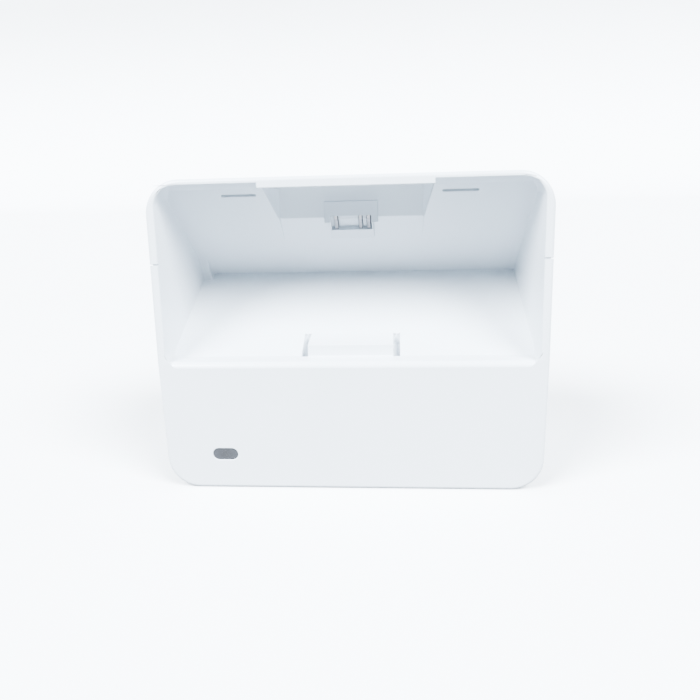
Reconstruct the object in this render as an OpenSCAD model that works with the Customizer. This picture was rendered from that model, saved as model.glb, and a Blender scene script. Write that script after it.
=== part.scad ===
// Wall-plug battery charger with a V-shaped battery pocket in its upper front.
// Millimetres. X runs left to right, Y runs from the front panel to the wall,
// Z is up. The origin is the centre of the base face.

/* [Housing] */

// Width of the housing
body_w = 88; // [84:1:100]

// Height of the housing at the top edge of the rim
body_h = 71.5; // [69:0.5:78]

// Corner radius seen from the front
corner_r = 7.5; // [6:0.5:9]

// Radius of the front and back edges
edge_r = 0.9; // [0.6:0.1:1]

// Thickness of the outer wall and of the pocket skin
wall = 2.2; // [1.8:0.1:2.4]

// Height of the front panel, up to the lip of the pocket
panel_h = 31; // [29:0.5:33]

// Angle by which the rim above the panel leans back
lean = 4; // [2:0.5:5]

// Height at which the joint of the two shells crosses the rim
seam_h = 53.5; // [51:0.5:56]

// Height of the open line along the joint
seam_gap = 0.3; // [0.2:0.05:0.4]

/* [Battery pocket] */

// Thickness of the roof at the rim
roof_lip = 1.2; // [1:0.1:1.5]

// Depth at which the roof turns into the ceiling
roof_d = 9; // [8:0.5:10]

// Drop from the top of the housing to the start of the ceiling
roof_drop = 2.5; // [2.3:0.1:3.2]

// Depth of the pocket at its deep edge
deep_d = 34.7; // [33:0.1:36]

// Distance from the deep edge to the back face of the housing
back_gap = 7.3; // [6.5:0.1:12]

// Rise of the deep edge above the front panel
deep_rise = 15.2; // [13:0.1:17]

// Depth of the flat top of the lip
lip_d = 4.7; // [4:0.1:5.5]

// Rise of the lip over its depth
lip_rise = 0.2; // [0.1:0.1:1]

// Radius of the front edge of the lip
lip_r = 1.6; // [1:0.1:2]

// Width of the rim at the front of the side walls
rim_w = 2; // [1.8:0.1:2.6]

// Draft angle of the pocket side walls
draft = 1; // [0.5:0.5:3]

/* [Snap finger] */

// Width of the finger that holds the battery
finger_w = 19.7; // [16:0.1:24]

// Width of the slot at each side of the finger
slot_w = 1.5; // [1:0.1:2]

// Depth at which the finger joins the floor
finger_root_d = 12; // [11:0.5:14]

// Height of the hook's nose above the lip
hook_h = 2.7; // [2:0.1:3.2]

// Width of each catch slit under the roof
catch_w = 8; // [6:0.5:10]

// Height of each catch slit
catch_h = 0.7; // [0.5:0.1:1]

// Distance of each catch slit from the roof, down the ceiling
catch_s = 2; // [1:0.1:3]

// Distance of each catch slit from the middle
catch_x = 25; // [24:0.5:28]

// Thickness of the keying rib on the left wall
key_t = 2.3; // [2:0.1:3]

// Length of the keying rib along the floor
key_len = 2.8; // [2:0.1:4]

/* [Contact recess] */

// Width of the recess for the battery's contact block, at its back
recess_w = 34.2; // [32:0.2:36]

// Depth of the recess
recess_d = 18; // [17:0.5:19]

// Thickness of the roof over the recess
recess_roof = 2.4; // [2.1:0.1:3]

// Width of the recess at the roof, and of the roof bar in front of it
bar_w = 38; // [37:0.5:42]

// Depth of the dip in the ceiling at the lower edge of the recess
dip_h = 0.5; // [0.3:0.1:0.8]

// Length over which the dip fades out
dip_len = 9; // [8:0.5:12]

// Width of the contact carrier on the recess wall
carrier_w = 12.6; // [12:0.2:14]

// Width of the contact carrier on the ceiling
carrier_foot_w = 10.4; // [10:0.2:11.6]

// Height of the contact carrier above the lower edge of the recess
carrier_up = 4.4; // [4:0.1:5]

// Length of the contact carrier down the ceiling
carrier_down = 6.6; // [6:0.1:7]

// How far the contact carrier stands proud of the wall
carrier_proud = 0.7; // [0.4:0.1:1]

// Thickness of the contact blades
contact_t = 0.7; // [0.5:0.05:0.8]

// Width of the slot around each contact blade
contact_slot = 1.1; // [1:0.05:1.2]

/* [Indicator] */

// Length of the indicator window
window_w = 6; // [5:0.5:7]

// Height of the indicator window
window_h = 2.9; // [2.5:0.1:3.2]

// Distance of the indicator window from the left side
window_side = 14.2; // [13:0.1:17]

/* [Mains plug] */

// Width of a plug blade
blade_w = 6.35; // [6.2:0.05:6.4]

// Thickness of a plug blade
blade_t = 1.5; // [1.4:0.05:1.6]

// Length of a plug blade outside the carrier
blade_len = 17.5; // [16:0.1:18]

// Distance between the two plug blades
blade_pitch = 12.7; // [12.6:0.05:12.8]

// Height of the plug above the base
plug_z = 25; // [23:0.5:27]

// Width of the plug carrier's face
plug_w = 34; // [30:1:36]

// Height of the plug carrier's face
plug_h = 20; // [18:1:22]

/* [Circuit board] */

// Thickness of the circuit boards
board_t = 1.6; // [1:0.1:1.6]

// Gap between the main board and the inside of the base
board_lift = 2; // [2:0.1:2.5]

// Clearance between the main board and the walls around it
board_gap = 1.6; // [1.2:0.1:2]

// Diameter of the bulk capacitors
can_d = 8; // [6.5:0.5:8.5]

// Height of the bulk capacitors
can_h = 15; // [12:0.5:16]

/* [Hidden] */

$fn = 64;
far = 60;                 // reach of the cutting solids
body_d = deep_d + back_gap;
front_y = -body_d / 2;    // plane of the front panel

// pocket section, as points of depth and height
roof_z = body_h - roof_drop;
deep_z = panel_h + deep_rise;
lip_z = panel_h + lip_rise;
rim_top = [rim_d(body_h - roof_lip), body_h - roof_lip];
roof_pt = [roof_d, roof_z];
deep_pt = [deep_d, deep_z];
lip_pt = [lip_d, lip_z];
pocket_pts = [
    along(roof_pt, rim_top, far), roof_pt, deep_pt, lip_pt,
    along(lip_pt, [0, panel_h], far)
];
floor_a = atan2(deep_z - lip_z, deep_d - lip_d);
lip_a = atan2(lip_rise, lip_d);
lip_centre = [0, panel_h] + (lip_r - 0.02) / sin(45 + lip_a / 2)
    * [cos(lip_a / 2 - 45), sin(lip_a / 2 - 45)];
ceil_a = atan2(roof_z - deep_z, deep_d - roof_d);

// joint of the two shells: a plane that ends just above the deep edge
seam_over_deep = 0.9;
seam_front = [rim_d(seam_h), seam_h];
seam_back = ceil_pt((norm(deep_pt - roof_pt)) - seam_over_deep, 0);
seam_depth = 0.5;

// inner width of the pocket at its mouth and inner corner radii
mouth_w = body_w - 2 * rim_w;
mouth_r = corner_r - rim_w - 0.5;
lip_corner_r = 4;

// nose of the hook behind the lip
hook_in = 0.1;

// ribs below the floor
rib_t = 1.4;
rib_h = 3;
rib_side = 6;             // ribs from the finger's slots

// contact recess
recess_z = roof_z - (recess_d - roof_d) * tan(ceil_a);
recess_top = body_h - recess_roof;
recess_skin = 1.8;
recess_s = (recess_d - roof_d) / cos(ceil_a);
carrier_back = 4.2;       // thickness of the carrier behind the ceiling
carrier_sink = 0.5;       // start of the carrier's foot above the recess edge
window_in = 0.7;          // depth of the carrier's contact window
window_up = 1.1;          // contact window above the recess edge
window_down = 3.3;        // contact window down the ceiling
contact_field = 9.8;      // width of the contact window
contact_in = 3.2;         // depth of the contact slots
contact_xs = [-3.65, 2.15, 4.1];

// keying rib, from its foot on the floor up to the ceiling
key_foot = deep_pt - key_len * [cos(floor_a), sin(floor_a)];
key_up = [-sin(floor_a), cos(floor_a)];
key_h = key_len * tan(floor_a + ceil_a);

// main board
board_z = wall + board_lift;
board_top = board_z + board_t;
board_front = wall + 2.6;
board_back = body_d - wall - board_gap;
board_side = 2.8;         // board short of the inner side walls
board_w = body_w - 2 * (wall + board_side);
post_in = 6;              // posts from the ends of the board
post_row = 4;             // posts from its front and back edges
pin_x = board_w / 2 - post_in;
pin_ds = [board_front + post_row, board_back - post_row];
post_w = 5;
pin_w = 2;
pin_over = 1;             // pin above the board
window_z = board_top + window_h;
window_x = body_w / 2 - window_side;

// plug carrier
flange_t = 1.6;           // carrier face in front of the back wall
neck_gap = 2;             // face margin around the neck in the wall
neck_in = 2.5;            // neck behind the inside of the wall
tail_len = 5;             // blade behind the neck
plug_r = 4;
blade_hole_d = 3.1;
blade_hole_in = 4.2;

// transformer
core_w = 20;
core_h = 16;
core_t = 5.6;
limb = 4.8;
coil_w = 10.6;
coil_t = 3.2;
base_t = 1.4;
step_d = 2.5;

// other components on the main board
can_gap = 1.5;
can_r = 0.5;
output_h = can_h - 3;
choke_d = 8;
choke_core_d = 6.4;
choke_h = 9;
flange_h = 1.5;
fuse_d = 7.5;
fuse_h = 8;
bridge_w = 8.5;
bridge_d = 6.5;
bridge_h = 3.3;
bridge_c = 0.7;
chip_w = 5;
chip_d = 4;
chip_h = 1.4;
leg_pitch = 1.27;
leg_w = 0.4;
leg_len = 0.8;
leg_h = 0.7;
film_w = 6;
film_d = 13;
film_h = 12;

white = [0.93, 0.94, 0.95];
off_white = [0.86, 0.87, 0.89];
board_green = [0.1, 0.35, 0.2];
dark = [0.12, 0.12, 0.13];
metal = [0.72, 0.72, 0.7];

// depth of the leaning rim at height z
function rim_d(z) = (z - panel_h) * tan(lean);

// the point at distance l from a, on the line from a through b
function along(a, b, l) = a + (b - a) * l / norm(b - a);

// unit normal to the left of the line from a to b
function left(a, b) = [a[1] - b[1], b[0] - a[0]] / norm(b - a);

// corner b of the path a, b, c, moved to its left by w
function mitre(a, b, c, w) =
    let (m = left(a, b), n = left(b, c)) b + (m + n) * w / (1 + m * n);

// path p moved to its left by w, with its two ends kept square
function shifted(p, w) = [for (i = [0:len(p) - 1])
    i == 0 ? p[0] + left(p[0], p[1]) * w :
    i == len(p) - 1 ? p[i] + left(p[i - 1], p[i]) * w :
    mitre(p[i - 1], p[i], p[i + 1], w)];

// the point s down the ceiling and n behind it
function ceil_pt(s, n) =
    roof_pt + s * [cos(ceil_a), -sin(ceil_a)] + n * [sin(ceil_a), cos(ceil_a)];

// height of the pocket floor at depth d
function floor_z(d) = lip_z + (d - lip_d) * tan(floor_a);

// extrudes a section of depth and height across the housing
module across(w, x = 0)
    translate([x - w / 2, front_y, 0]) rotate([90, 0, 90]) linear_extrude(w) children();

// extrudes a front view backwards from depth d
module backwards(d, len)
    translate([0, front_y + d + len, 0]) rotate([90, 0, 0]) linear_extrude(len) children();

// places a child at a depth behind the front panel
module at_depth(x, d, z) translate([x, front_y + d, z]) children();

module rounded_rect(w, h, r) {
    translate([-w / 2 + r, 0]) square([w - 2 * r, h]);
    translate([-w / 2, r]) square([w, h - 2 * r]);
    for (x = [r - w / 2, w / 2 - r], z = [r, h - r]) translate([x, z]) circle(r);
}

// a slab seen from the front as a rounded rectangle, with its front and back
// edges rounded too: two straight runs and four revolved corners
module soft_slab(w, h, d, r, e) {
    translate([r - w / 2, 0, 0]) rotate([90, 0, 90]) linear_extrude(w - 2 * r)
        translate([d / 2, 0]) rounded_rect(d, h, e);
    translate([0, 0, r]) linear_extrude(h - 2 * r) rounded_rect(w, d, e);
    for (x = [r - w / 2, w / 2 - r], z = [r, h - r])
        translate([x, 0, z]) rotate([-90, 0, 0]) rotate_extrude() intersection() {
            rounded_rect(2 * r, d, e);
            square([r, d]);
        }
}

// outer form: the upright slab below, the leaning slab of the rim above
module body_solid() intersection() {
    at_depth(0, 0, 0) soft_slab(body_w, body_h + far, body_d, corner_r, edge_r);
    at_depth(0, 0, panel_h) rotate([-lean, 0, 0]) translate([0, 0, -far])
        soft_slab(body_w, far + (body_h - panel_h) / cos(lean), body_d + far, corner_r, edge_r);
}

// section of the battery pocket, with the front edge of the lip rounded off:
// the circle stands proud of panel and lip by a hair, so that it cuts both
module pocket_section() {
    polygon(pocket_pts);
    difference() {
        translate([-edge_r, lip_centre[1]])
            square([edge_r + lip_centre[0] - lip_r * sin(lip_a), lip_r + lip_rise]);
        translate(lip_centre) circle(lip_r);
    }
}

// the pocket: its section, drafted side walls and rounded mouth together
module pocket_void() intersection() {
    across(body_w) pocket_section();
    linear_extrude(body_h + far) polygon([for (s = [1, -1], t = [s, -s])
        [s * (mouth_w / 2 - (t > 0 ? 0 : (body_d + 2 * edge_r)) * tan(draft)),
         front_y + (t > 0 ? -edge_r : body_d + edge_r)]]);
    backwards(-far, 2 * far) intersection() {
        translate([0, body_h - roof_lip - far]) rounded_rect(mouth_w, far, mouth_r);
        translate([0, lip_centre[1]]) rounded_rect(mouth_w, far, lip_corner_r);
    }
}

// cavity for the circuit, below and behind the skin of the pocket
module inner_void() difference() {
    intersection() {
        across(body_w) difference() {
            translate([wall, wall]) square([body_d - 2 * wall, body_h]);
            polygon(shifted(pocket_pts, wall));
        }
        backwards(0, body_d)
            translate([0, wall]) rounded_rect(body_w - 2 * wall, body_h + far, corner_r - wall);
        at_depth(0, 0, panel_h) rotate([90 - lean, 0, 0])
            translate([0, wall - far, -2 * far]) linear_extrude(3 * far)
                rounded_rect(body_w - 2 * wall, far + (body_h - panel_h) / cos(lean) - 2 * wall, corner_r - wall);
    }
    recess_block(recess_skin);
}

// plan of the contact recess, flared towards the roof, larger all round by s
module recess_plan(s) polygon([for (p = [
    [-bar_w, -2 * roof_d], [bar_w, -2 * roof_d], [bar_w, 0], [recess_w, recess_d - roof_d],
    [-recess_w, recess_d - roof_d], [-bar_w, 0]])
        [p[0] / 2 + sign(p[0]) * s, front_y + roof_d + p[1] + (p[1] > 0 ? s : 0)]]);

// the block of the contact recess, larger all round by the skin s
module recess_block(s) translate([0, 0, recess_z - s])
    linear_extrude(recess_top - recess_z + 2 * s) recess_plan(s);

// everything below the joint of the shells, moved down by g
module below_seam(g) across(body_w + far) polygon([
    along(seam_back, seam_front, far + body_d) - [0, g], along(seam_front, seam_back, far + body_d) - [0, g],
    [far + body_d, -far], [-far, -far]]);

// the open line along the joint, on the outside of the housing
module seam_line() difference() {
    below_seam(0);
    below_seam(seam_gap);
    at_depth(0, seam_depth + rim_d(seam_h), 0) linear_extrude(body_h)
        rounded_rect(body_w - 2 * seam_depth, body_d - 2 * seam_depth - rim_d(seam_h), edge_r);
}

// lower shell: front panel, floor with the snap finger, base and lower back
module lower_housing() color(white) {
    difference() {
        intersection() { body_solid(); below_seam(0); }
        pocket_void();
        inner_void();
        seam_line();
        finger_slots();
        indicator_hole(0);
        plug_neck();
    }
    snap_hook();
    intersection() { keying_rib(); below_seam(0); }
    floor_ribs();
    for (x = [-pin_x, pin_x], d = pin_ds) at_depth(x, d, wall) {
        cylinder(d = post_w, h = board_lift);
        cylinder(d = pin_w, h = board_lift + board_t + pin_over);
    }
}

// slots at both sides of the finger, through the floor
module finger_slots() for (s = [-1, 1])
    across(slot_w, s * (finger_w + slot_w) / 2)
        polygon([[lip_d, lip_z - 2 * wall], [lip_d, lip_z + wall],
            [finger_root_d, floor_z(finger_root_d) + wall],
            [finger_root_d, floor_z(finger_root_d) - 2 * wall]]);

// hook on the finger: upright nose behind the lip, top running into the floor
module snap_hook() across(finger_w) polygon([
    [lip_d + hook_in, lip_z - wall / 2], [lip_d + hook_in, lip_z + hook_h],
    [finger_root_d, floor_z(finger_root_d)], [finger_root_d, floor_z(finger_root_d) - wall / 2]]);

// web across the deep left corner that lets only the right battery in
module keying_rib() across(key_t + rim_w / 2, deep_d * tan(draft) - mouth_w / 2 + key_t / 2 - rim_w / 4)
    polygon([key_foot - key_up * wall / 2, deep_pt + [wall / 2, 0], key_foot + key_up * (key_h + wall / 2)]);

// ribs that stiffen the floor from below
module floor_ribs() for (x = [-1, 1] * (finger_w / 2 + slot_w + rib_side))
    across(rib_t, x) polygon([
        [lip_d, floor_z(lip_d) - wall], [deep_d - wall, floor_z(deep_d - wall) - wall],
        [deep_d - wall, floor_z(deep_d - wall) - wall - rib_h], [lip_d, floor_z(lip_d) - wall - rib_h]]);

// upper shell: roof, ceiling with the contact recess, upper back
module upper_housing() color(white) difference() {
    union() {
        difference() {
            body_solid();
            below_seam(0);
            pocket_void();
            inner_void();
        }
        roof_bar();
        difference() { keying_rib(); below_seam(0); }
    }
    recess_cut();
    ceiling_dip();
    catch_slits();
    carrier_form(0);
}

// thick front edge of the roof over the recess
module roof_bar() intersection() {
    across(bar_w) polygon([[rim_d(recess_top), recess_top], [roof_d, recess_top],
        [roof_d, body_h - roof_lip], rim_top]);
    body_solid();
}

// the recess opens the ceiling up to its flat top
module recess_cut() recess_block(0);

// shallow dip that runs out down the ceiling from the lower edge of the recess
module ceiling_dip() across(recess_w) polygon([
    ceil_pt(recess_s - 1, -1), ceil_pt(recess_s - 1, dip_h), ceil_pt(recess_s, dip_h),
    ceil_pt(recess_s + dip_len, 0), ceil_pt(recess_s + dip_len, -1)]);

// slits under the roof that the battery's catches reach into
module catch_slits() for (s = [-1, 1]) across(catch_w, s * catch_x)
    polygon([ceil_pt(catch_s, -1), ceil_pt(catch_s + catch_h, -1),
        ceil_pt(catch_s + catch_h, wall + 1), ceil_pt(catch_s, wall + 1)]);

// the contact carrier's outline, which is also the opening made for it
module carrier_form(g) {
    across(carrier_w + 2 * g) translate([recess_d - carrier_proud, recess_z - carrier_sink])
        square([carrier_back, carrier_up + carrier_sink]);
    across(carrier_foot_w + 2 * g) polygon([
        ceil_pt(recess_s - carrier_sink, 0), ceil_pt(recess_s - carrier_sink, -carrier_proud / 2),
        ceil_pt(recess_s + carrier_down, -carrier_proud / 2), ceil_pt(recess_s + carrier_down, carrier_back),
        ceil_pt(recess_s, carrier_back)]);
}

module contact_carrier() color(off_white) difference() {
    carrier_form(0);
    // shallow window around the contacts
    across(contact_field) contact_section(window_in);
    for (x = contact_xs) across(contact_slot, x) contact_section(contact_in);
}

// section in front of the ceiling that reaches n into it
module contact_section(n) polygon([
    [recess_d - carrier_proud - 1, recess_z + window_up],
    [recess_d + n * 0.6, recess_z + window_up],
    ceil_pt(recess_s + n * 0.5, n),
    ceil_pt(recess_s + window_down, n), ceil_pt(recess_s + window_down, -2)]);

module contact_blade(i) color(metal) across(contact_t, contact_xs[i - 1]) difference() {
    contact_section(contact_in);
    polygon([[recess_d - 10, recess_z + 10], ceil_pt(recess_s - 0.5, 0) + [0, 10],
        ceil_pt(recess_s - 0.5, 0), ceil_pt(recess_s + 10, 0), ceil_pt(recess_s + 10, -10), [recess_d - 10, recess_z - 10]]);
}
module contact_blade_1() contact_blade(1);
module contact_blade_2() contact_blade(2);
module contact_blade_3() contact_blade(3);

// small board on the back of the contact carrier
module contact_board() color(board_green) across(carrier_w + 3) polygon([
    ceil_pt(recess_s + 2, carrier_back), ceil_pt(recess_s + carrier_down + 2, carrier_back),
    ceil_pt(recess_s + carrier_down + 2, carrier_back + board_t), ceil_pt(recess_s + 2, carrier_back + board_t)]);

// stadium outline of the indicator window, larger all round by g
module stadium(g) {
    r = window_h / 2 + g;
    run = (window_w - window_h) / 2;
    translate([-run, -r]) square([2 * run, 2 * r]);
    for (x = [-run, run]) translate([x, 0]) circle(r);
}

module indicator_hole(g) translate([-window_x, 0, window_z]) backwards(-1, wall + 2) stadium(g);

module indicator_lens() color([0.35, 0.37, 0.4]) translate([-window_x, 0, window_z]) {
    backwards(0.2, wall - 0.2) stadium(0);
    backwards(wall, 1) stadium(1);
}

module indicator_led() color([0.9, 0.95, 0.9]) {
    at_depth(-window_x - 2, board_front + 0.4, board_top) cube([4, 3.4, window_h + 1.8]);
    translate([-window_x, 0, window_z]) backwards(wall + 1, board_front - wall - 0.6) circle(1.5);
}

// rounded block of the plug carrier, centred on the plug
module plug_block(d, len, w, h, r) translate([0, 0, plug_z - h / 2])
    backwards(d, len) rounded_rect(w, h, r);

module plug_neck() plug_block(body_d - wall - neck_in, wall + neck_in + 1,
    plug_w - 2 * neck_gap, plug_h - 2 * neck_gap, plug_r - neck_gap);

module plug_carrier() color(off_white) difference() {
    union() {
        plug_block(body_d - wall - neck_in, wall + neck_in,
            plug_w - 2 * neck_gap, plug_h - 2 * neck_gap, plug_r - neck_gap);
        plug_block(body_d, flange_t, plug_w, plug_h, plug_r);
    }
    plug_blade(-1);
    plug_blade(1);
}

// flat blade with a rounded tip edge and the usual hole near its end
module plug_blade(s) {
    d0 = body_d - wall - neck_in - tail_len;
    len = body_d + flange_t + blade_len - d0;
    translate([s * blade_pitch / 2 - blade_t / 2, front_y + d0, plug_z])
        rotate([90, 0, 90]) linear_extrude(blade_t) difference() {
            union() {
                translate([0, -blade_w / 2]) square([len - 2, blade_w]);
                translate([len - 4, -blade_w / 2 + 2]) square([4, blade_w - 4]);
                for (z = [-1, 1]) translate([len - 2, z * (blade_w / 2 - 2)]) circle(2);
            }
            translate([len - blade_hole_in, 0]) circle(d = blade_hole_d);
        }
}
module plug_blade_left() color(metal) plug_blade(-1);
module plug_blade_right() color(metal) plug_blade(1);

module main_board() color(board_green) difference() {
    at_depth(-board_w / 2, board_front, board_z) cube([board_w, board_back - board_front, board_t]);
    for (x = [-pin_x, pin_x], d = pin_ds) at_depth(x, d, board_z - board_t) cylinder(d = pin_w * 1.2, h = 3 * board_t);
}

// a place on the main board, as fractions of its half width and of its depth
module on_board(u, v) at_depth(u * board_w / 2, board_front + v * (board_back - board_front), board_top) children();

// a block standing on the origin, centred in plan
module block(w, d, h) translate([-w / 2, -d / 2, 0]) cube([w, d, h]);

// the transformer's place on the board
module on_trafo() on_board(0.49, 0.49) children();

// moulded base that carries the transformer, with a step along two edges
module transformer_base() color(dark) on_trafo() {
    block(core_w, core_w, base_t);
    for (s = [-1, 1]) translate([0, s * (core_w - step_d) / 2, 0]) block(core_w, step_d, 2 * base_t);
}

// ferrite core with two windows around its middle limb
module transformer_core() color([0.25, 0.24, 0.24]) on_trafo() difference() {
    translate([0, 0, base_t]) block(core_w, core_t, core_h);
    for (s = [-1, 1]) translate([0, 0, base_t + core_h / 2 + s * (limb + coil_t) / 2 - coil_t / 2])
        block(coil_w, 2 * core_t, coil_t);
}

// winding around the middle limb
module transformer_coil() color([0.85, 0.7, 0.2]) on_trafo()
    translate([-coil_w / 2, 0, base_t + core_h / 2]) rotate([90, 0, 90]) linear_extrude(coil_w) difference() {
        translate([0, -limb / 2 - coil_t]) rounded_rect(core_t + 2 * coil_t, limb + 2 * coil_t, 2);
        square([core_t, limb], center = true);
    }

// electrolytic capacitor: revolved can with a crimp near its base
module can(d, h) rotate_extrude() difference() {
    union() {
        square([d / 2 - can_r, h]);
        square([d / 2, h - can_r]);
        translate([d / 2 - can_r, h - can_r]) circle(can_r);
    }
    translate([d / 2 + can_r / 2, 4 * can_r]) circle(1.4 * can_r);
    translate([-1, h - can_r / 3]) square([d / 2, 1]);
}
module bulk_capacitor_1() color(dark) on_board(-0.31, 0.21) can(can_d, can_h);
module bulk_capacitor_2() color(dark) on_board(-0.31, 0.21) translate([can_d + can_gap, 0, 0]) can(can_d, can_h);
module output_capacitor() color(dark) on_board(-0.57, 0.51) can(can_d, output_h);

// drum-shaped choke: a narrower winding between two flanges
module line_choke() color([0.3, 0.2, 0.15]) on_board(-0.31, 0.56) {
    cylinder(d = choke_d, h = flange_h);
    cylinder(d = choke_core_d, h = choke_h);
    translate([0, 0, choke_h - flange_h]) cylinder(d = choke_d, h = flange_h);
}

module input_fuse() color([0.5, 0.35, 0.2]) on_board(0, 0.6) cylinder(d = fuse_d, h = fuse_h);

// rectifier block with a bevelled top
module bridge_rectifier() color(dark) on_board(-0.79, 0.31)
    rotate([90, 0, 90]) linear_extrude(bridge_w, center = true) polygon([
        [-bridge_d / 2, 0], [bridge_d / 2, 0], [bridge_d / 2, bridge_h - bridge_c],
        [bridge_d / 2 - bridge_c, bridge_h], [bridge_c - bridge_d / 2, bridge_h],
        [-bridge_d / 2, bridge_h - bridge_c]]);

// controller in a small package with four legs on each long side
module controller_chip() color(dark) on_board(-0.79, 0.72) {
    translate([0, 0, leg_w / 2]) block(chip_w, chip_d, chip_h);
    for (i = [-1.5:1.5], s = [-1, 1])
        translate([i * leg_pitch, s * (chip_d + leg_len) / 2, 0]) block(leg_w, leg_len + leg_w, leg_h);
}

module safety_capacitor() color([0.8, 0.65, 0.15]) on_board(0.86, 0.44) block(film_w, film_d, film_h);

lower_housing();
upper_housing();
contact_carrier();
contact_blade_1();
contact_blade_2();
contact_blade_3();
contact_board();
indicator_lens();
indicator_led();
plug_carrier();
plug_blade_left();
plug_blade_right();
main_board();
transformer_base();
transformer_core();
transformer_coil();
bulk_capacitor_1();
bulk_capacitor_2();
output_capacitor();
line_choke();
input_fuse();
bridge_rectifier();
controller_chip();
safety_capacitor();
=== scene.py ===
"""Looks of the wall-plug battery charger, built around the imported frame."""

import math

import bmesh
import bpy
from mathutils import Matrix, Vector


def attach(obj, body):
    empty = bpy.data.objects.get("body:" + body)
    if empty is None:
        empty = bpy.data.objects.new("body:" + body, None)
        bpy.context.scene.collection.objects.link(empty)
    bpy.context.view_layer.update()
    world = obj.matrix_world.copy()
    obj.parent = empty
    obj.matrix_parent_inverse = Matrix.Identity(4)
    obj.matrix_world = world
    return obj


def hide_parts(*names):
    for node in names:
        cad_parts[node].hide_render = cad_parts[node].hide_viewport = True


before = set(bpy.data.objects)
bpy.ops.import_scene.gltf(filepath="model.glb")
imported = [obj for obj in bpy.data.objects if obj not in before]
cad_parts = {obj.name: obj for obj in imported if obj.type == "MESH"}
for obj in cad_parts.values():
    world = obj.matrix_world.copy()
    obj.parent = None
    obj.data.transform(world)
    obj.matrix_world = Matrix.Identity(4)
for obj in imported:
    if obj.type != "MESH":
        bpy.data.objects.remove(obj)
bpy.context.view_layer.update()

MM = 0.001
BODY = "root"

# Sizes of the housing, as in the CAD model, in millimetres.
FRONT = -21.0          # Y of the front panel
PANEL_Z = 31.0         # height of the front panel
LEAN = math.radians(4)
LIP = (4.7, 31.2)      # depth and height where the lip meets the pocket floor
DEEP = (34.7, 46.2)    # deep edge of the pocket
ROOF = (9.0, 69.0)     # edge between the roof and the ceiling
SEAM = ((1.57, 53.5), (34.1, 46.87))   # joint of the two shells

# Widths of the softened edges: under the roof, on the rim, elsewhere.
ROOF_SOFT = 0.12
RIM_SOFT = 0.3
FORM_SOFT = 0.18


# --------------------------------------------------------------- materials

def node_material(name):
    material = bpy.data.materials.new(name)
    material.use_nodes = True
    tree = material.node_tree
    shader = next(n for n in tree.nodes if n.type == "BSDF_PRINCIPLED")
    return material, tree, shader


def noise(tree, scale, detail=3.0, stretch=(1, 1, 1)):
    """Noise in object space, with scale in features per metre."""
    coords = tree.nodes.new("ShaderNodeTexCoord")
    mapping = tree.nodes.new("ShaderNodeMapping")
    mapping.inputs["Scale"].default_value = stretch
    texture = tree.nodes.new("ShaderNodeTexNoise")
    texture.inputs["Scale"].default_value = scale
    texture.inputs["Detail"].default_value = detail
    tree.links.new(coords.outputs["Object"], mapping.inputs["Vector"])
    tree.links.new(mapping.outputs["Vector"], texture.inputs["Vector"])
    return texture.outputs["Fac"]


def spread(tree, value, low, high):
    """Maps the middle of a noise to the range low..high."""
    ranged = tree.nodes.new("ShaderNodeMapRange")
    ranged.inputs["From Min"].default_value = 0.3
    ranged.inputs["From Max"].default_value = 0.7
    ranged.inputs["To Min"].default_value = low
    ranged.inputs["To Max"].default_value = high
    tree.links.new(value, ranged.inputs["Value"])
    return ranged.outputs["Result"]


def tint(tree, value, dark, light):
    """Mixes two colours by a noise."""
    ramp = tree.nodes.new("ShaderNodeValToRGB")
    ramp.color_ramp.elements[0].position = 0.3
    ramp.color_ramp.elements[1].position = 0.7
    ramp.color_ramp.elements[0].color = (*dark, 1)
    ramp.color_ramp.elements[1].color = (*light, 1)
    tree.links.new(value, ramp.inputs["Fac"])
    return ramp.outputs["Color"]


def bump(tree, shader, value, depth):
    """Bumps the shader's surface by a value, depth in metres."""
    node = tree.nodes.new("ShaderNodeBump")
    node.inputs["Distance"].default_value = depth
    node.inputs["Strength"].default_value = 1.0
    tree.links.new(value, node.inputs["Height"])
    tree.links.new(node.outputs["Normal"], shader.inputs["Normal"])


def moulded(name, dark, light, rough, grain=2600, grain_depth=0.004 * MM, coat=0.0):
    """Moulded plastic: faint clouding of colour, fine grain and uneven gloss."""
    material, tree, shader = node_material(name)
    tree.links.new(tint(tree, noise(tree, 45), dark, light), shader.inputs["Base Color"])
    tree.links.new(spread(tree, noise(tree, 380), rough - 0.03, rough + 0.03),
                   shader.inputs["Roughness"])
    shader.inputs["IOR"].default_value = 1.5
    shader.inputs["Coat Weight"].default_value = coat
    shader.inputs["Coat Roughness"].default_value = 0.12
    bump(tree, shader, noise(tree, grain), grain_depth)
    return material


def drawn_metal(name, dark, light, rough, stretch):
    """Drawn or plated metal with fine lines along one direction."""
    material, tree, shader = node_material(name)
    lines = noise(tree, 900, 4.0, stretch)
    shader.inputs["Metallic"].default_value = 1.0
    tree.links.new(tint(tree, lines, dark, light), shader.inputs["Base Color"])
    tree.links.new(spread(tree, lines, rough - 0.06, rough + 0.08), shader.inputs["Roughness"])
    bump(tree, shader, lines, 0.003 * MM)
    return material


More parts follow.
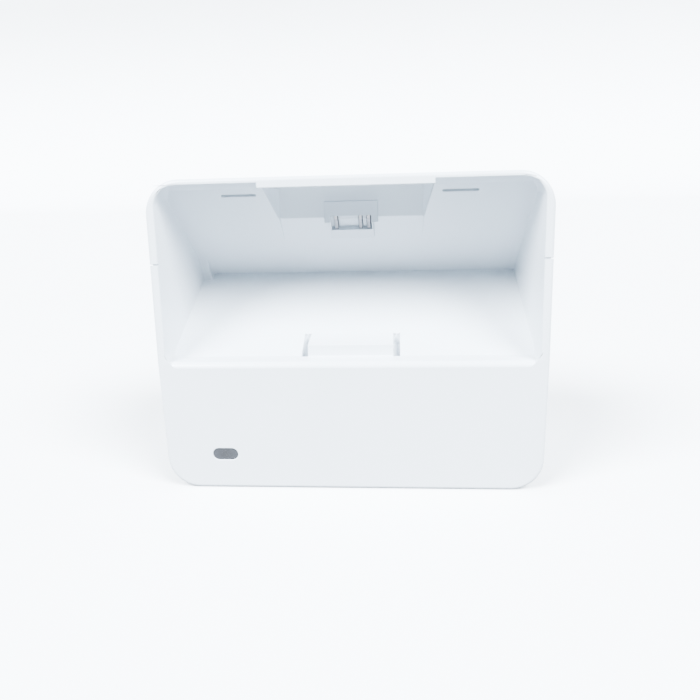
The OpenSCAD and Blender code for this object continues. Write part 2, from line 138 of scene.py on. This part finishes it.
def smoky_window_painted_shade(name, centre, painted_shade_middle, outer, radius):
    """Smoky window, darker in its middle, where the light sits behind it: painted shade of the hollow
    behind, seen through the window.
    """
    material, tree, shader = node_material(name)
    coords = tree.nodes.new("ShaderNodeTexCoord")
    offset = tree.nodes.new("ShaderNodeMapping")
    offset.inputs["Location"].default_value = [-c * MM for c in centre]
    length = tree.nodes.new("ShaderNodeVectorMath")
    length.operation = "LENGTH"
    ramp = tree.nodes.new("ShaderNodeValToRGB")
    # The middle colour is painted shade: the dark hollow behind the lens, seen through it.
    ramp.color_ramp.elements[0].color = (*painted_shade_middle, 1)
    ramp.color_ramp.elements[1].color = (*outer, 1)
    scale = tree.nodes.new("ShaderNodeMath")
    scale.operation = "DIVIDE"
    scale.inputs[1].default_value = radius * MM
    tree.links.new(coords.outputs["Object"], offset.inputs["Vector"])
    tree.links.new(offset.outputs["Vector"], length.inputs[0])
    tree.links.new(length.outputs["Value"], scale.inputs[0])
    tree.links.new(scale.outputs["Value"], ramp.inputs["Fac"])
    tree.links.new(ramp.outputs["Color"], shader.inputs["Base Color"])
    shader.inputs["Roughness"].default_value = 0.18
    shader.inputs["Specular IOR Level"].default_value = 0.3
    bump(tree, shader, noise(tree, 1500), 0.002 * MM)
    return material


WHITE = moulded("white_plastic", (0.62, 0.66, 0.70), (0.64, 0.68, 0.72), 0.33, coat=0.15)
CARRIER = moulded("carrier_plastic", (0.57, 0.61, 0.65), (0.60, 0.64, 0.68), 0.45)
# The lens colour is darker towards its middle: painted shade of the hollow behind it.
LENS = smoky_window_painted_shade("smoky_lens_painted_shade", (-29.8, FRONT, 8.7), (0.004, 0.0045, 0.006), (0.016, 0.018, 0.024), 3.2)
CONTACT = drawn_metal("contact_nickel", (0.16, 0.16, 0.17), (0.26, 0.26, 0.27), 0.32, (1, 1, 8))
BLADE = drawn_metal("plug_nickel", (0.62, 0.60, 0.56), (0.74, 0.73, 0.70), 0.26, (8, 1, 8))

NODE_MATERIALS = {
    "lower_housing": WHITE,
    "upper_housing": WHITE,
    "contact_carrier": CARRIER,
    "plug_carrier": CARRIER,
    "indicator_lens": LENS,
    "contact_blade_1": CONTACT,
    "contact_blade_2": CONTACT,
    "contact_blade_3": CONTACT,
    "plug_blade_left": BLADE,
    "plug_blade_right": BLADE,
    "indicator_led": moulded("led_resin", (0.70, 0.76, 0.72), (0.78, 0.82, 0.78), 0.2),
    "main_board": moulded("board_mask", (0.02, 0.11, 0.05), (0.03, 0.15, 0.07), 0.35),
    "contact_board": moulded("board_mask_small", (0.02, 0.11, 0.05), (0.03, 0.15, 0.07), 0.35),
    "transformer_base": moulded("black_moulding", (0.012, 0.012, 0.014), (0.02, 0.02, 0.022), 0.5),
    "bridge_rectifier": moulded("rectifier_epoxy", (0.012, 0.012, 0.014), (0.02, 0.02, 0.022), 0.55),
    "controller_chip": moulded("chip_epoxy", (0.012, 0.012, 0.014), (0.018, 0.018, 0.02), 0.6),
    "transformer_core": moulded("ferrite", (0.035, 0.033, 0.034), (0.055, 0.052, 0.052), 0.55),
    "line_choke": moulded("choke_ferrite", (0.035, 0.033, 0.034), (0.055, 0.052, 0.052), 0.55),
    "transformer_coil": moulded("coil_tape", (0.62, 0.44, 0.04), (0.72, 0.52, 0.06), 0.3),
    "bulk_capacitor_1": moulded("can_sleeve_1", (0.01, 0.015, 0.03), (0.016, 0.022, 0.04), 0.3),
    "bulk_capacitor_2": moulded("can_sleeve_2", (0.01, 0.015, 0.03), (0.016, 0.022, 0.04), 0.3),
    "output_capacitor": moulded("can_sleeve_3", (0.01, 0.015, 0.03), (0.016, 0.022, 0.04), 0.3),
    "input_fuse": moulded("fuse_case", (0.15, 0.08, 0.03), (0.2, 0.11, 0.045), 0.45),
    "safety_capacitor": moulded("film_case", (0.55, 0.40, 0.05), (0.62, 0.46, 0.07), 0.4),
}
for name, material in NODE_MATERIALS.items():
    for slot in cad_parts[name].material_slots:
        slot.material = material


# ------------------------------------------------- housings with soft edges

def clean_copy(node, name):
    """A copy of a CAD node's mesh with its flat faces joined up again."""
    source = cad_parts[node]
    mesh = source.data.copy()
    mesh.name = name
    piece = bpy.data.objects.new(name, mesh)
    bpy.context.scene.collection.objects.link(piece)
    work = bmesh.new()
    work.from_mesh(mesh)
    bmesh.ops.remove_doubles(work, verts=work.verts, dist=1e-6)
    bmesh.ops.dissolve_limit(work, angle_limit=math.radians(0.4),
                             verts=work.verts, edges=work.edges, delimit=set())
    work.to_mesh(mesh)
    work.free()
    return piece


def soften(piece, width_of, sharp=math.radians(24)):
    """Bevels the sharp edges of a piece, each by the width of its region."""
    mesh = piece.data
    work = bmesh.new()
    work.from_mesh(mesh)
    weights = work.edges.layers.float.new("bevel_weight_edge")
    widest = 0.5                       # millimetres at full weight
    for edge in work.edges:
        if len(edge.link_faces) != 2 or edge.calc_face_angle(0) < sharp:
            continue
        middle = (edge.verts[0].co + edge.verts[1].co) / 2 / MM
        edge[weights] = width_of(middle) / widest
        edge.smooth = edge[weights] > 0
    work.to_mesh(mesh)
    work.free()
    modifier = piece.modifiers.new("soft_edges", "BEVEL")
    modifier.limit_method = "WEIGHT"
    modifier.width = widest * MM
    modifier.segments = 3
    modifier.use_clamp_overlap = False
    modifier.harden_normals = False
    modifier.miter_outer = "MITER_ARC"
    normals = piece.modifiers.new("flat_faces_flat", "WEIGHTED_NORMAL")
    normals.weight = 100
    normals.keep_sharp = True
    for face in mesh.polygons:
        face.use_smooth = True
    depsgraph = bpy.context.evaluated_depsgraph_get()
    done = bpy.data.meshes.new_from_object(piece.evaluated_get(depsgraph))
    piece.modifiers.clear()
    piece.data = done


def beyond(depth, z, a, b):
    """Distance of a point to the left of the line from a to b."""
    run = Vector(b) - Vector(a)
    return (run.x * (z - a[1]) - run.y * (depth - a[0])) / run.length


def housing_edge(middle):
    """Edge width in millimetres, zero where the edge stays sharp or unseen."""
    x, y, z = middle
    depth = y - FRONT
    below_floor = beyond(depth, z, LIP, DEEP) < -0.5 and z < DEEP[1]
    behind_ceiling = beyond(depth, z, DEEP, ROOF) < -0.7 and z > DEEP[1] and depth > 18.3
    at_seam = abs(beyond(depth, z, SEAM[0], SEAM[1])) < 0.6
    at_lip = depth < 3 and PANEL_Z - 3 < z < PANEL_Z + 0.5
    if at_seam or at_lip:
        return 0.0
    inside = abs(x) < 43 and 0.6 < z < 68 and depth > 1 and depth < 41
    if inside and (below_floor or behind_ceiling):
        return 0.0
    if z > 69.6:
        return ROOF_SOFT
    if z > PANEL_Z + 1 and abs(depth - (z - PANEL_Z) * math.tan(LEAN)) < 0.3:
        return RIM_SOFT
    return FORM_SOFT


for node in ("lower_housing", "upper_housing"):
    piece = clean_copy(node, node + "_soft")
    soften(piece, housing_edge)
    piece.data.materials.clear()
    piece.data.materials.append(WHITE)
    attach(piece, BODY)
    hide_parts(node)


def finger_well():
    """Thin moulded wall under the snap finger, seen through its slots."""
    half_w, front, back = 12.4, 4.9, 13.5
    upper, lower = 2.25, 3.2           # below the pocket floor
    run = (Vector(DEEP) - Vector(LIP)).normalized()
    verts = []
    for x in (-half_w, half_w):
        for depth in (front, back):
            for below in (upper, lower):
                along_floor = (depth - LIP[0]) / run.x
                spot = Vector(LIP) + run * along_floor + Vector((run.y, -run.x)) * below
                verts.append((x * MM, (FRONT + spot.x) * MM, spot.y * MM))
    faces = [(0, 1, 3, 2), (4, 6, 7, 5), (0, 4, 5, 1), (2, 3, 7, 6), (0, 2, 6, 4), (1, 5, 7, 3)]
    mesh = bpy.data.meshes.new("finger_well")
    mesh.from_pydata(verts, [], faces)
    mesh.materials.append(WHITE)
    piece = bpy.data.objects.new("finger_well", mesh)
    bpy.context.scene.collection.objects.link(piece)
    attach(piece, BODY)


finger_well()


# -------------------------------------------------------- stage, light, view

def stage_material():
    material, tree, shader = node_material("pale_floor")
    tree.links.new(tint(tree, noise(tree, 6), (0.93, 0.935, 0.94), (0.95, 0.953, 0.956)),
                   shader.inputs["Base Color"])
    shader.inputs["Roughness"].default_value = 0.9
    shader.inputs["Specular IOR Level"].default_value = 0.1
    return material


def backdrop():
    """Pale floor that curves up into a wall far behind the object."""
    reach = 20.0
    profile = [(-reach, 0.0), (1.4, 0.0)]
    profile += [(1.4 + 0.6 * math.sin(a), 0.6 - 0.6 * math.cos(a))
                for a in [math.radians(t) for t in range(6, 91, 6)]]
    profile.append((2.0, 3.0))
    verts = [(x, y, z) for y, z in profile for x in (-reach, reach)]
    faces = [(2 * i, 2 * i + 1, 2 * i + 3, 2 * i + 2) for i in range(len(profile) - 1)]
    mesh = bpy.data.meshes.new("backdrop")
    mesh.from_pydata(verts, [], faces)
    for face in mesh.polygons:
        face.use_smooth = True
    stage = bpy.data.objects.new("backdrop", mesh)
    stage.data.materials.append(stage_material())
    bpy.context.scene.collection.objects.link(stage)
    stage.visible_diffuse = False


def soft_sun(name, azimuth, elevation, spread_angle, strength, colour):
    """Large soft light from afar; azimuth 0 is straight in front."""
    light = bpy.data.lights.new(name, "SUN")
    light.energy = strength
    light.angle = math.radians(spread_angle)
    light.color = colour
    lamp = bpy.data.objects.new(name, light)
    lamp.rotation_euler = (math.radians(90 - elevation), 0, math.radians(azimuth))
    bpy.context.scene.collection.objects.link(lamp)


backdrop()
soft_sun("key_left", -48, 45, 30, 24.0, (0.86, 0.93, 1.0))
soft_sun("key_right", 48, 45, 30, 24.0, (0.86, 0.93, 1.0))

world = bpy.data.worlds.new("studio")
bpy.context.scene.world = world
world.use_nodes = True
background = next(n for n in world.node_tree.nodes if n.type == "BACKGROUND")
background.inputs["Color"].default_value = (0.6, 0.8, 1.0, 1)
background.inputs["Strength"].default_value = 0.7


def camera_from_fit(place, yaw, pitch, roll, focal_px):
    """Camera from the angles fitted to the photograph, 700 px wide."""
    ahead = Vector((math.sin(yaw) * math.cos(pitch), math.cos(yaw) * math.cos(pitch),
                    -math.sin(pitch)))
    right = Vector((math.cos(yaw), -math.sin(yaw), 0))
    down = ahead.cross(right)
    rolled_right = math.cos(roll) * right + math.sin(roll) * down
    rolled_down = math.cos(roll) * down - math.sin(roll) * right
    data = bpy.data.cameras.new("view")
    data.sensor_width = 36.0
    data.lens = focal_px / 700 * data.sensor_width
    data.clip_start = 0.01
    camera = bpy.data.objects.new("view", data)
    axes = Matrix((rolled_right, -rolled_down, -ahead)).transposed()
    camera.matrix_world = Matrix.Translation(place) @ axes.to_4x4()
    bpy.context.scene.collection.objects.link(camera)
    bpy.context.scene.camera = camera


camera_from_fit((11.5 * MM, (FRONT - 136.4) * MM, 71.3 * MM), math.radians(-4.69),
                math.radians(15.27), math.radians(1.62), 640)
